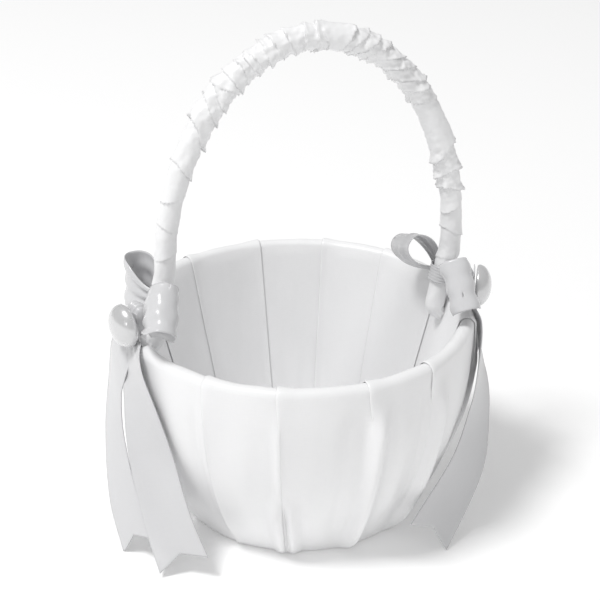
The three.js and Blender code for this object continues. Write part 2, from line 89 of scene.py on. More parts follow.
# The bows: one at each side, facing round from the front.
KNOT = Vector((70.3, -11.2, 98))
KNOT_SIZE = Vector((10, 8, 14))  # along the bow, outwards, up
BOW_TURN = math.radians(65.8)
TIE_RADIUS = 5.6
PEARL_DROP = 1.4  # the pearl sits a little below the middle of its knot
TIE_HEIGHT = 7.0
SIDES = {"left": -1, "right": 1}
# Each loop's root and tip, from the knot for a front loop and from the handle leg for a back one:
# outwards from the bowl, towards the back and up; then the degrees that it is turned about its length.
LOOPS = {
    "left_front": {"root": (-3.2, -7.1, 0.0), "tip": (-10.3, -19.8, 13), "turn": -32},
    "left_back": {"root": (1.7, 7.3, -1), "tip": (7, 29, 1.5), "turn": 0},
    "right_front": {"root": (-3.2, -7.1, -1), "tip": (-10.3, -19.8, 8.5), "turn": 20},
    "right_back": {"root": (0.5, 8.5, -1), "tip": (-15, 13, 11.5), "turn": 40},
}

# Each tail's middle line below the knot: height, degrees round from the front, distance from the axis.
TAIL_ROUTES = {
    "left_front": [(80, -74, 77.2), (66, -69, 78), (45, -64, 78.6), (24, -56, 81), (6.5, -48, 84)],
    "left_back": [(80, -85, 78.6), (66, -87.5, 80.6), (45, -84, 83), (22, -73, 86), (6.5, -64, 88)],
    "right_front": [(80, 74, 77.2), (66, 68.5, 78), (48, 63, 78.6), (30, 51, 78.2), (7.5, 31.5, 75)],
    "right_back": [(80, 85, 78.4), (66, 89.5, 78.4), (45, 94, 76), (24, 98, 71.5), (5, 101, 66.5)],
}
TAIL_TOP = 89.1

FLOOR_GAP = 0.35  # the satin's thickness at the hem stays above what the basket stands on

# Tucks of the satin round the bowl: degrees from the front, which way the fold lies,
# and how much of the fold stays crisp down the outside.
TUCKS = [
    (-72, -1, 0.7), (-43, -1, 0.8), (-19.6, -1, 0.5), (8.2, -1, 0.3), (31.4, -1, 0.3),
    (67.6, -1, 0.4), (101.6, -1, 0.6), (130.1, 1, 0.4), (154.9, 1, 0.6), (182.2, -1, 0.5),
    (209.5, 1, 0.6), (236, 1, 0.4), (262, 1, 0.6),
]
# One tuck in section: along the bowl and out from it, over the fold and back under itself.
FOLD = [
    (-8, 0), (-5.5, 0.08), (-3.5, 0.3), (-1.6, 0.62), (0, 0.88), (1.0, 0.98), (1.7, 0.92), (2.0, 0.66),
    (1.75, 0.4), (0.8, 0.28), (-0.4, 0.22), (-1.0, 0.08), (-0.8, -0.08), (0.4, -0.14), (2.2, -0.12),
    (4.5, -0.05), (7, 0),
]
VALLEY = 0.9  # the deepest that the satin sinks between ridges, where it meets the batting
RIDGE_LIFT = 1.55  # share of every height in the table below
# Soft ridges and valleys down the outside:
# degrees, half width, height, lowest and highest point, and degrees of drift towards the base.
RIDGES = [
    (-47.5, 2.6, -0.6, 4, 84, 0.5),
    (-44.6, 1.6, 0.7, 2, 86, 0),
    (-33, 7.0, 0.5, 10, 70, 0),
    (-20.6, 1.5, 0.7, 30, 86, 0),
    (-22.4, 2.8, 1.9, -8, 42, 0.4),
    (-17.2, 2.2, 1.7, -8, 40, 0.8),
    (-19.8, 0.9, -1.2, -4, 40, 0.6),
    (3.4, 4.2, -1.6, 4, 84, -2),
    (11.6, 3.6, 2.6, -6, 84, -3.5),
    (21.0, 4.0, 0.9, 14, 78, -2),
    (29.6, 3.2, -1.5, 6, 86, -1),
    (36.0, 3.6, 2.2, -4, 84, -2),
    (47.0, 5.0, 0.6, 10, 70, -1),
    (64.5, 3.0, -0.7, 8, 84, 0),
    (70.0, 3.6, 1.4, 0, 84, 0),
    (98.5, 3.4, -0.8, 6, 82, 0),
    (104.5, 4.0, 1.7, -2, 82, 1),
    (127.5, 3.2, -0.7, 8, 84, 0),
    (133.0, 3.6, 1.3, 0, 80, -2),
    (157.5, 3.8, 1.8, -4, 82, 1.5),
    (152.5, 3.0, -0.8, 6, 84, 0),
    (184.5, 3.4, 1.2, 0, 84, -1),
    (195.0, 5.0, 0.6, 12, 66, 0),
    (207.0, 3.0, -0.8, 6, 84, 0),
    (212.5, 4.2, 2.0, -4, 80, 2),
    (238.5, 3.4, 1.4, 0, 84, -1),
    (259.5, 3.0, -0.6, 8, 84, 0),
    (264.5, 3.6, 1.5, -2, 82, 0),
    (290.5, 3.2, 1.2, 0, 84, 1),
]

# Laps of the ruched sleeve, from the left foot to the right one: distance along the handle, how far the
# outer side runs ahead, height, length before the edge, and which way the edge faces.
LAPS = [
    (22, 1.5, 0.25, 5, -1), (37, -2, 0.35, 5, -1), (49, 2, 0.4, 5, -1), (62, -2, 0.55, 6, -1),
    (75, 3.0, 1.1, 7, -1), (91, 5.4, 1.7, 10, -1), (101, 4.5, 1.1, 7, -1), (107, 3.5, 1.2, 6, -1),
    (112.5, -1, 1.0, 3, -1), (116, 0.5, 1.2, 5, -1), (121, 1.5, 0.8, 3, -1), (125.5, 0.5, 1.3, 4, -1),
    (128, -0.5, 0.7, 2, -1), (132.5, 0.5, 1.2, 4, -1), (137.5, -1.5, 1.1, 3.5, -1),
    (143, -1.2, 1.3, 4.5, -1), (148.5, 0.8, 1.2, 4, -1), (153.5, 0.5, 1.3, 4, -1), (157, -1, 0.6, 2.5, -1),
    (166, 2.4, 0.9, 6, 1), (170, 4.5, 0.8, 3.5, 1), (174.5, 5.0, 1.0, 4, 1), (179.5, 4.0, 1.0, 4, 1),
    (185, 6.0, 0.8, 4, 1), (191, 6.5, 1.1, 4, 1), (198, 5.5, 1.5, 3.5, 1), (204, 3.0, 0.9, 4, 1),
    (210, 2.5, 1.0, 4, 1), (235, -3.4, 1.3, 16, 1), (244, -1.5, 1.3, 5, 1), (251.5, 1.5, 1.4, 4.5, 1),
    (261, -2, 0.5, 6, 1), (272, 2, 0.4, 6, 1), (284, -2, 0.3, 5, 1),
]
SMOOTH_RUNS = [(154, 168), (207, 236)]  # where the satin lies nearly flat
# Plain radius of the sleeve along the handle: distance, radius.
SLEEVE_GIRTH = [
    (-8, 1.9), (-5, 3.3), (0, 4.2), (10, 4.4), (60, 4.4), (75, 4.7), (100, 4.8), (150, 5.0), (165, 5.2),
    (200, 4.7), (215, 5.0), (235, 4.9), (255, 4.5), (290, 4.4), (307, 4.2), (312, 3.3), (315, 1.9),
]


# ---- Settings ----
class BasketCoverSettings(bpy.types.PropertyGroup):
    thickness: FloatProperty(
        name="Satin thickness", description="One thickness of the cover satin",
        default=0.3 * MM, min=0.1 * MM, unit="LENGTH")
    fold_height: FloatProperty(
        name="Fold height", description="How proud the tucks stand, as a share of the usual height",
        default=1.0, min=0.0, max=2.0, subtype="FACTOR")
    inside_flatness: FloatProperty(
        name="Inside flatness", description="How flat the lining is pulled between its tucks",
        default=0.6, min=0.0, max=1.0, subtype="FACTOR")
    ripple: FloatProperty(
        name="Ripple", description="Height of the small ripples in the satin",
        default=0.2 * MM, min=0.0, unit="LENGTH")
    colour: FloatVectorProperty(
        name="Satin colour", description="Colour of the cover satin",
        default=(0.9, 0.9, 0.905), size=3, min=0, max=1, subtype="COLOR")


class BasketHandleSettings(bpy.types.PropertyGroup):
    gather: FloatProperty(
        name="Gather", description="How proud the laps of the sleeve stand",
        default=0.85, min=0.0, max=1.5, subtype="FACTOR")
    crinkle: FloatProperty(
        name="Crinkle", description="Height of the fine creases between the laps",
        default=0.45 * MM, min=0.0, unit="LENGTH")
    around: IntProperty(name="Steps around", description="Mesh steps round the sleeve", default=72, min=16)


class BasketBowSettings(bpy.types.PropertyGroup):
    ribbon_width: FloatProperty(
        name="Ribbon width", description="Width of the bow ribbon",
        default=22 * MM, min=5 * MM, unit="LENGTH")
    ribbon_thickness: FloatProperty(
        name="Ribbon thickness", description="Thickness of the bow ribbon",
        default=0.35 * MM, min=0.1 * MM, unit="LENGTH")
    pearl_width: FloatProperty(
        name="Pearl width", description="Across the half pearl", default=18 * MM, min=4 * MM, unit="LENGTH")
    pearl_height: FloatProperty(
        name="Pearl height", description="From the pearl's flat back to its top",
        default=6.6 * MM, min=2 * MM, unit="LENGTH")
    notch: FloatProperty(
        name="Notch", description="Depth of the swallowtail", default=5 * MM, min=0.0, unit="LENGTH")
    colour: FloatVectorProperty(
        name="Ribbon colour", description="Colour of the satin ribbon",
        default=(0.66, 0.66, 0.67), size=3, min=0, max=1, subtype="COLOR")


class BasketStageSettings(bpy.types.PropertyGroup):
    azimuth: FloatProperty(
        name="Camera azimuth", description="How far the camera stands round from the front",
        default=math.radians(-14.5), subtype="ANGLE")
    elevation: FloatProperty(
        name="Camera elevation", description="How high the camera looks down from",
        default=math.radians(26.02), subtype="ANGLE")
    distance: FloatProperty(
        name="Camera distance", description="From the camera to the point it looks at",
        default=0.6, min=0.1, unit="LENGTH")
    lens: FloatProperty(
        name="Lens", description="Focal length", default=84.71, min=10, subtype="DISTANCE_CAMERA")
    aim: FloatVectorProperty(
        name="Aim", description="The point that the camera looks at",
        default=(0.00059, -0.00015, 0.09242), size=3, subtype="XYZ", unit="LENGTH")
    key: FloatProperty(
        name="Key light", description="Power of the main light", default=58.0, min=0, unit="POWER")
    world: FloatProperty(name="Sky", description="Strength of the even light", default=0.5, min=0)


# ---- Shader groups that several finishes use ----
def new_group(name, inputs, outputs):
    group = bpy.data.node_groups.new(name, "ShaderNodeTree")
    for label, kind, value in inputs:
        socket = group.interface.new_socket(label, in_out="INPUT", socket_type=kind)
        if value is not None:
            socket.default_value = value
    for label, kind in outputs:
        group.interface.new_socket(label, in_out="OUTPUT", socket_type=kind)
    nodes = group.nodes
    return group, nodes.new("NodeGroupInput"), nodes.new("NodeGroupOutput")


def add_node(tree, kind, inputs=None, **settings):
    """A node with its settings; each input is a value or another node's socket."""
    node = tree.nodes.new(kind)
    for key, value in settings.items():
        setattr(node, key, value)
    for key, value in (inputs or {}).items():
        if isinstance(value, bpy.types.NodeSocket):
            tree.links.new(value, node.inputs[key])
        else:
            node.inputs[key].default_value = value
    return node


def satin_weave_group():
    """Threads in two directions, long floats, slubs and a faint change of shade."""
    group, source, result = new_group(
        "Satin weave",
        [("Vector", "NodeSocketVector", None), ("Colour", "NodeSocketColor", (0.9, 0.9, 0.9, 1)),
         ("Threads", "NodeSocketFloat", 3200.0), ("Variation", "NodeSocketFloat", 0.03),
         ("Roughness", "NodeSocketFloat", 0.4)],
        [("Colour", "NodeSocketColor"), ("Roughness", "NodeSocketFloat"), ("Height", "NodeSocketFloat")],
    )
    floats = add_node(group, "ShaderNodeMapping",
                      {"Vector": source.outputs["Vector"], "Scale": (1.0, 0.06, 1.0)})
    across = add_node(group, "ShaderNodeMapping",
                      {"Vector": source.outputs["Vector"], "Scale": (0.1, 0.7, 1.0)})
    warp = add_node(group, "ShaderNodeTexNoise",
                    {"Vector": floats.outputs[0], "Scale": source.outputs["Threads"], "Detail": 2.0})
    weft = add_node(group, "ShaderNodeTexNoise",
                    {"Vector": across.outputs[0], "Scale": source.outputs["Threads"], "Detail": 1.0})
    slub = add_node(group, "ShaderNodeTexNoise",
                    {"Vector": floats.outputs[0], "Scale": 420.0, "Detail": 3.0, "Roughness": 0.6})
    shade = add_node(group, "ShaderNodeTexNoise",
                     {"Vector": source.outputs["Vector"], "Scale": 45.0, "Detail": 3.0})
    threads = add_node(group, "ShaderNodeMath", {0: warp.outputs[0], 1: weft.outputs[0]}, operation="ADD")
    raised = add_node(group, "ShaderNodeMath", {0: threads.outputs[0], 1: 0.5}, operation="MULTIPLY")
    height = add_node(group, "ShaderNodeMath",
                      {0: slub.outputs[0], 1: 0.6, 2: raised.outputs[0]}, operation="MULTIPLY_ADD")
    spread = add_node(group, "ShaderNodeMath", {0: shade.outputs[0], 1: 0.5}, operation="SUBTRACT")
    change = add_node(group, "ShaderNodeMath",
                      {0: spread.outputs[0], 1: source.outputs["Variation"], 2: 1.0},
                      operation="MULTIPLY_ADD")
    thread_spread = add_node(group, "ShaderNodeMath", {0: raised.outputs[0], 1: 0.5}, operation="SUBTRACT")
    fine = add_node(group, "ShaderNodeMath",
                    {0: thread_spread.outputs[0], 1: 0.06, 2: change.outputs[0]}, operation="MULTIPLY_ADD")
    tint = add_node(group, "ShaderNodeVectorMath",
                    {0: source.outputs["Colour"], "Scale": fine.outputs[0]}, operation="SCALE")
    gloss = add_node(group, "ShaderNodeMath",
                     {0: spread.outputs[0], 1: 0.12, 2: source.outputs["Roughness"]},
                     operation="MULTIPLY_ADD")
    link = group.links.new
    link(tint.outputs[0], result.inputs["Colour"])
    link(gloss.outputs[0], result.inputs["Roughness"])
    link(height.outputs[0], result.inputs["Height"])
    return group


def fleck_group():
    """Uneven grain for card, wire, batting and pearl: a shade, a gloss and a height."""
    group, source, result = new_group(
        "Fleck",
        [("Vector", "NodeSocketVector", None), ("Colour", "NodeSocketColor", (0.8, 0.8, 0.8, 1)),
         ("Scale", "NodeSocketFloat", 300.0), ("Variation", "NodeSocketFloat", 0.1),
         ("Roughness", "NodeSocketFloat", 0.5)],
        [("Colour", "NodeSocketColor"), ("Roughness", "NodeSocketFloat"), ("Height", "NodeSocketFloat")],
    )
    grain = add_node(group, "ShaderNodeTexNoise",
                     {"Vector": source.outputs["Vector"], "Scale": source.outputs["Scale"],
                      "Detail": 5.0, "Roughness": 0.62})
    spread = add_node(group, "ShaderNodeMath", {0: grain.outputs[0], 1: 0.5}, operation="SUBTRACT")
    change = add_node(group, "ShaderNodeMath",
                      {0: spread.outputs[0], 1: source.outputs["Variation"], 2: 1.0},
                      operation="MULTIPLY_ADD")
    tint = add_node(group, "ShaderNodeVectorMath",
                    {0: source.outputs["Colour"], "Scale": change.outputs[0]}, operation="SCALE")
    gloss = add_node(group, "ShaderNodeMath",
                     {0: spread.outputs[0], 1: 0.2, 2: source.outputs["Roughness"]}, operation="MULTIPLY_ADD")
    group.links.new(tint.outputs[0], result.inputs["Colour"])
    group.links.new(gloss.outputs[0], result.inputs["Roughness"])
    group.links.new(grain.outputs[0], result.inputs["Height"])
    return group


def group_named(name, build):
    return bpy.data.node_groups.get(name) or build()


def surface(name, build_group, coordinate, values, shader, bump):
    """A material whose colour, gloss and relief come from a shader group."""
    known = bpy.data.materials.get(name)
    if known:
        return known
    material = bpy.data.materials.new(name)
    material.use_nodes = True
    tree = material.node_tree
    principled = tree.nodes["Principled BSDF"]
    place = tree.nodes.new("ShaderNodeTexCoord")
    effect = tree.nodes.new("ShaderNodeGroup")
    effect.node_tree = build_group
    tree.links.new(place.outputs[coordinate], effect.inputs["Vector"])
    for key, value in values.items():
        effect.inputs[key].default_value = value
    relief = add_node(tree, "ShaderNodeBump",
                      {"Height": effect.outputs["Height"], "Strength": bump[0], "Distance": bump[1]})
    tree.links.new(effect.outputs["Colour"], principled.inputs["Base Color"])
    tree.links.new(effect.outputs["Roughness"], principled.inputs["Roughness"])
    tree.links.new(relief.outputs[0], principled.inputs["Normal"])
    for key, value in shader.items():
        principled.inputs[key].default_value = value
    return material


def satin(name, colour, roughness, threads, sheen, variation, bump):
    return surface(
        name, group_named("Satin weave", satin_weave_group), "UV",
        {"Colour": (*colour, 1), "Roughness": roughness, "Threads": threads, "Variation": variation},
        {"Sheen Weight": sheen, "Sheen Roughness": 0.35, "Specular IOR Level": 0.45,
         "Anisotropic": 0.35},
        bump,
    )


def grainy(name, colour, roughness, scale, variation, shader, bump):
    return surface(
        name, group_named("Fleck", fleck_group), "Object",
        {"Colour": (*colour, 1), "Roughness": roughness, "Scale": scale, "Variation": variation},
        shader, bump,
    )


def cover_satin():
    colour = tuple(bpy.context.scene.basket_cover.colour)
    return satin("cover satin", colour, 0.34, 3000.0, 0.1, 0.05, (0.12, 0.0001))


def lining_satin():
    return satin("lining satin", (0.89, 0.89, 0.895), 0.5, 3000.0, 0.2, 0.05, (0.12, 0.0001))


def ribbon_satin():
    colour = tuple(bpy.context.scene.basket_bow.colour)
    return satin("ribbon satin", colour, 0.24, 2600.0, 0.15, 0.07, (0.2, 0.00012))


def batting():
    return grainy("batting", (0.9, 0.895, 0.88), 0.95, 900.0, 0.25, {"Sheen Weight": 0.4}, (0.7, 0.0006))


def steel_wire():
    return grainy("steel wire", (0.56, 0.57, 0.59), 0.34, 700.0, 0.3, {"Metallic": 1.0}, (0.15, 0.0001))


def card():
    return grainy("grey card", (0.55, 0.5, 0.42), 0.9, 1400.0, 0.3, {}, (0.4, 0.0001))


def cloth_tape():
    return grainy("cloth tape", (0.8, 0.785, 0.74), 0.8, 1800.0, 0.2, {"Sheen Weight": 0.2}, (0.5, 0.0001))


def pearl_lustre():
    """Nacre: a clear coat over a soft grey body."""
    material = grainy(
        "pearl lustre", (0.66, 0.66, 0.665), 0.26, 120.0, 0.06,
        {"Coat Weight": 1.0, "Coat Roughness": 0.06, "Specular IOR Level": 0.8, "Metallic": 0.45,
         "Sheen Weight": 0.2},
        (0.04, 0.0001),
    )
    return material


# ---- Mesh tools ----
def make_piece(name, points, faces, material, uvs=None, smooth=True):
    """A mesh object from points in millimetres."""
    mesh = bpy.data.meshes.new(name)
    mesh.from_pydata([p * MM for p in points], [], faces)
    mesh.validate()
    if uvs:
        layer = mesh.uv_layers.new(name="Cloth")
        for loop in mesh.loops:
            layer.data[loop.index].uv = uvs[loop.vertex_index]
    mesh.polygons.foreach_set("use_smooth", [smooth] * len(mesh.polygons))
    mesh.materials.append(material)
    piece = bpy.data.objects.new(name, mesh)
    bpy.context.scene.collection.objects.link(piece)
    return piece


def patch(count, width, at):
    """Rows of points and of cloth coordinates, from a function of the row and the place along it."""
    cells = [[at(i, k) for k in range(width)] for i in range(count)]
    return [[spot for spot, _ in row] for row in cells], [[uv for _, uv in row] for row in cells]


def lengths_along(outline):
    """Distance walked to each point of an outline."""
    walked = [0.0]
    for last, spot in zip(outline, outline[1:]):
        walked.append(walked[-1] + (spot - last).length)
    return walked


def grid_piece(name, rows, material, closed=False, uvs=None, flip=False):
    """A sheet from rows of points; closed joins each row's end to its start."""
    width = len(rows[0])
    points = [p for row in rows for p in row]
    faces = []
    for i in range(len(rows) - 1):
        for j in range(width if closed else width - 1):
            k = (j + 1) % width
            face = (i * width + j, i * width + k, (i + 1) * width + k, (i + 1) * width + j)
            faces.append(face[::-1] if flip else face)
    flat_uvs = [uv for row in uvs for uv in row] if uvs else None
    return make_piece(name, points, faces, material, flat_uvs)


def thicken(piece, thickness, offset=-1.0):
    solid = piece.modifiers.new("Cloth thickness", "SOLIDIFY")
    solid.thickness = thickness
    solid.offset = offset
    solid.use_even_offset = False
    return piece


def settle(piece, body, slot_name, *nodes):
    """Puts a piece on its body and hides the plain solids it stands for; the finish name that it is given is
    not used.
    """
    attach(piece, body)
    if nodes:
        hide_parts(*nodes)
    return piece


def smoothstep(value, low, high):
    share = min(1.0, max(0.0, (value - low) / (high - low)))
    return share * share * (3 - 2 * share)


def lerp(a, b, share):
    return a + (b - a) * share


def table_value(table, at):
    """Reads a table of (place, value) rows with smooth steps between them."""
    if at <= table[0][0]:
        return table[0][1]
    for (a, low), (b, high) in zip(table, table[1:]):
        if at <= b:
            return low + (high - low) * smoothstep(at, a, b)
    return table[-1][1]


def round_bowl(angle, radius, height):
    """A point by its angle from the front towards +X, its distance from the axis and its height."""
    return Vector((radius * math.sin(angle), -radius * math.cos(angle), height))


class Route:
    """A smooth line through points, walked by distance."""

    def __init__(self, points, finer=24):
        ends = [points[0] * 2 - points[1], *points, points[-1] * 2 - points[-2]]
        self.points = []
        for a, b, c, d in zip(ends, ends[1:], ends[2:], ends[3:]):
            for k in range(finer):
                t = k / finer
                self.points.append(
                    0.5 * (2 * b + (c - a) * t + (2 * a - 5 * b + 4 * c - d) * t * t
                           + (3 * b - a - 3 * c + d) * t ** 3))
        self.points.append(points[-1])
        self.reach = [0.0]
        for a, b in zip(self.points, self.points[1:]):
            self.reach.append(self.reach[-1] + (b - a).length)
        self.length = self.reach[-1]

    def at(self, distance):
        distance = min(self.length, max(0.0, distance))
        low, high = 0, len(self.reach) - 1
        while high - low > 1:
            middle = (low + high) // 2
            if self.reach[middle] <= distance:
                low = middle
            else:
                high = middle
        span = self.reach[high] - self.reach[low]
        share = (distance - self.reach[low]) / span if span else 0.0
        return self.points[low].lerp(self.points[high], share)

    def direction(self, distance, step=0.6):
        return (self.at(distance + step) - self.at(distance - step)).normalized()


# ---- The bowl ----
def side_point(share):
    """The wire's side curve from the base hoop to the rim hoop, and its direction there."""
    foot, rim = Vector((FOOT_RADIUS, FOOT_HEIGHT)), Vector((RIM_RADIUS, RIM_HEIGHT))
    lower = Vector((lerp(foot.x, rim.x, 0.56), lerp(foot.y, rim.y, 0.26)))
    upper = Vector((rim.x + 1.2, lerp(foot.y, rim.y, 0.52)))
    rest = 1 - share
    place = (rest ** 3 * foot + 3 * rest * rest * share * lower
             + 3 * rest * share * share * upper + share ** 3 * rim)
    way = (3 * rest * rest * (lower - foot) + 6 * rest * share * (upper - lower)
           + 3 * share * share * (rim - upper))
    return place, way.normalized()


def side_offset(share, distance):
    place, way = side_point(share)
    return place + Vector((way.y, -way.x)) * distance, Vector((way.y, -way.x))


def lining_slope():
    to_rim = Vector((RIM_RADIUS - FLOOR_RADIUS, RIM_HEIGHT - FLOOR_HEIGHT))
    return math.atan2(to_rim.x, to_rim.y) - math.asin(LIP / to_rim.length)


def cover_profile():
    """The cover in section: hem, outside, lip and lining, each a point, its outward side and its zone."""
    down = Vector((0.3, -0.95))
    profile = [
        (Vector((HEM_RADIUS - 1.3, 0.42)), down, "hem"),
        (Vector((HEM_RADIUS - 0.6, 0.16)), down, "hem"),
        (Vector((HEM_RADIUS, 0.22)), Vector((0.8, -0.6)), "hem"),
    ]
    for i in range(45):
        place, out = side_offset(i / 44, LIP)
        profile.append((place, out, "outside"))
    slope = lining_slope()
    turn = math.pi - slope
    for i in range(1, 15):
        angle = turn * i / 14
        out = Vector((math.cos(angle), math.sin(angle)))
        profile.append((Vector((RIM_RADIUS, RIM_HEIGHT)) + out * LIP, out, "lip"))
    start, floor = profile[-1][0], Vector((FLOOR_RADIUS, FLOOR_HEIGHT))
    inward = profile[-1][1]
    for i in range(1, 41):
        profile.append((start.lerp(floor, i / 40), inward, "lining"))
    return profile


def ridge_height(angle, radius, height):
    """Soft ridges and valleys of the outside, in millimetres."""
    total = 0.0
    for degrees, width, rise, low, high, drift in RIDGES:
        centre = math.radians(degrees + drift * (1 - height / RIM_HEIGHT))
        apart = (angle - centre + math.pi) % (2 * math.pi) - math.pi
        reach = apart * radius / width
        if abs(reach) < 3:
            fade = smoothstep(height, low, low + 16) * (1 - smoothstep(height, high - 18, high))
            total += RIDGE_LIFT * rise * fade * math.exp(-reach * reach)
    return max(total, -VALLEY)


def crispness(zone, height, outside_share):
    """How much of a tuck stays a sharp fold: whole inside and over the lip, less down the outside."""
    if zone in ("lip", "lining"):
        return 1.0
    return outside_share + (1 - outside_share) * smoothstep(height, RIM_HEIGHT - 20, RIM_HEIGHT)


def panel_flatness(zone, height, inside):
    if zone == "lining":
        return inside
    if zone == "lip":
        return inside * 0.45
    return 0.12 + (inside * 0.45 - 0.12) * smoothstep(height, RIM_HEIGHT - 16, RIM_HEIGHT)


def cover_row(station, settings, walked):
    """One ring of the cover: over each fold, then across the panel to the next one."""
    place, out, zone = station
    radius, height = place.x, place.y
    flat = panel_flatness(zone, height, settings.inside_flatness)
    outward = 1.0 if zone in ("outside", "hem") else 0.0
    lip_shade = smoothstep(out.y, 0.0, 0.9) if zone == "lip" else 0.0
    lift_zone = 1.0 if zone != "hem" else 0.4
    row, uvs = [], []
    for index, (degrees, way, share) in enumerate(TUCKS):
        next_degrees, next_way, _ = TUCKS[(index + 1) % len(TUCKS)]
        last_degrees = TUCKS[index - 1][0]
        here = math.radians(degrees)
        after = math.radians(next_degrees + (360 if next_degrees <= degrees else 0))
        before = math.radians(last_degrees - (360 if last_degrees >= degrees else 0))
        crisp = crispness(zone, height, share)
        fold_height = settings.fold_height * (0.6 if zone == "lining" else 0.7)
        section = FOLD if way > 0 else [(-t, n) for t, n in FOLD[::-1]]
        low, high = section[0][0], section[-1][0]
        samples = []
        for k, (t, n) in enumerate(section):
            even = low + (high - low) * k / (len(section) - 1)
            samples.append((here + (even + (t - even) * crisp) / radius, n * crisp * fold_height))
        next_low = -FOLD[-1][0] if next_way < 0 else FOLD[0][0]
        first, last = here + high / radius, after + next_low / radius
        across = 12
        samples += [(first + (last - first) * k / across, 0.0) for k in range(1, across)]
        for angle, lift in samples:
            start, end = (before, here) if angle < here else (here, after)
            half, middle = (end - start) / 2, (start + end) / 2
            chord = math.cos(half) / max(math.cos(half), math.cos(angle - middle))
            pulled = radius * (1 - flat * (1 - chord))
            ripple = noise.noise(Vector((angle * 9, walked * 0.035, 3.1))) * settings.ripple / MM
            ripple += noise.noise(Vector((angle * 22, walked * 0.05, 7.7))) * settings.ripple / MM * 0.4
            rise = lift * lift_zone + ripple * (1.0 if zone != "hem" else 0.2)
            if outward:
                rise += ridge_height(angle, radius, height) * lift_zone
            elif lip_shade < 1 and zone == "lip":
                rise += ridge_height(angle, radius, RIM_HEIGHT) * (1 - lip_shade)
            row.append(round_bowl(angle, pulled + out.x * rise, max(height + out.y * rise, FLOOR_GAP)))
            uvs.append((angle * RIM_RADIUS * MM, walked * MM))
    return row, uvs


def build_cover(settings):
    profile = cover_profile()
    rows, uv_rows, walked = [], [], 0.0
    for index, station in enumerate(profile):
        if index:
            walked += (station[0] - profile[index - 1][0]).length
        row, uvs = cover_row(station, settings, walked)
        rows.append(row)
        uv_rows.append(uvs)
    piece = grid_piece("pleated_cover", rows, cover_satin(), closed=True, uvs=uv_rows)
    thicken(piece, settings.thickness)
    return settle(piece, BASKET, "cover_satin", "satin_cover")


BATTING_IN, BATTING_OUT = 1.3, 1.85  # from the frame's own line to its two faces
BATTING_THIN = 0.25  # at the least
TAPE_HEIGHT, TAPE_ALONG, TAPE_ACROSS = 62, 6, 7  # where the batting passes over the handle's tape
TAPE_PROUD = 2.25


def build_side_batting():
    """Batting between the wire and the outside satin, thinned over the tape that binds the handle."""
    stations = [side_point(i / 30) for i in range(31)]
    centre = Vector((RIM_RADIUS, RIM_HEIGHT))
    line = [(place, Vector((way.y, -way.x))) for place, way in stations]
    for i in range(1, 10):
        angle = (math.pi - 0.3) * i / 9
        out = Vector((math.cos(angle), math.sin(angle)))
        line.append((centre, out))
    steps = 96
    outer, inner = [], []
    for place, out in line:
        outer_row, inner_row = [], []
        for j in range(steps):
            angle = 2 * math.pi * j / steps
            beside = abs(math.cos(angle)) * RIM_RADIUS
            near_tape = beside < TAPE_ACROSS and abs(place.y - TAPE_HEIGHT) < TAPE_ALONG
            low = TAPE_PROUD if near_tape else BATTING_IN
            lump = 0.12 * noise.noise(Vector((angle * 12, place.y * 0.12, out.y)))
            high = max(BATTING_OUT + lump, low + BATTING_THIN)
            for row, offset in ((outer_row, high), (inner_row, low)):
                spot = place + out * offset
                row.append(round_bowl(angle, spot.x, spot.y))
        outer.append(outer_row)
        inner.append(inner_row)
    rows = outer + inner[::-1] + [outer[0]]
    piece = grid_piece("side_batting", rows, batting(), closed=True)
    weld(piece)
    return settle(piece, BASKET, "batting", "side_padding")


def weld(piece, distance=0.00001):
    merge = piece.modifiers.new("Join edges", "WELD")
    merge.merge_threshold = distance


def disc_rows(radii_and_heights, steps, wave=None):
    rows = []
    for radius, height in radii_and_heights:
        row = []
        for j in range(steps):
            angle = 2 * math.pi * j / steps
            lift = wave(angle, radius) if wave else 0.0
            row.append(round_bowl(angle, max(radius, 0.01), height + lift))
        rows.append(row)
    return rows


def swell(piece, pressure, limit):
    """Lets the stuffing puff a closed piece up, then fixes the shape that it took."""
    scene = bpy.context.scene
    before = [v.co.copy() for v in piece.data.vertices]
    cloth = piece.modifiers.new("Cloth", "CLOTH")
    cloth.settings.use_pressure = True
    cloth.settings.uniform_pressure_force = pressure
    cloth.settings.quality = 6
    cloth.settings.effector_weights.gravity = 0
    cloth.settings.mass = 0.15
    cloth.settings.tension_stiffness = 40
    cloth.settings.bending_stiffness = 2
    for step in range(1, 21):
        scene.frame_set(step)
    settled = piece.evaluated_get(bpy.context.evaluated_depsgraph_get())
    after = [v.co.copy() for v in settled.data.vertices]
    piece.modifiers.remove(cloth)
    scene.frame_set(1)
    for vertex, old, new in zip(piece.data.vertices, before, after):
        move = new - old
        if move.length > limit:
            move *= limit / move.length
        vertex.co = old + move
        vertex.co.z = max(vertex.co.z, FLOOR_HEIGHT * MM + 0.00005)
    piece.data.update()


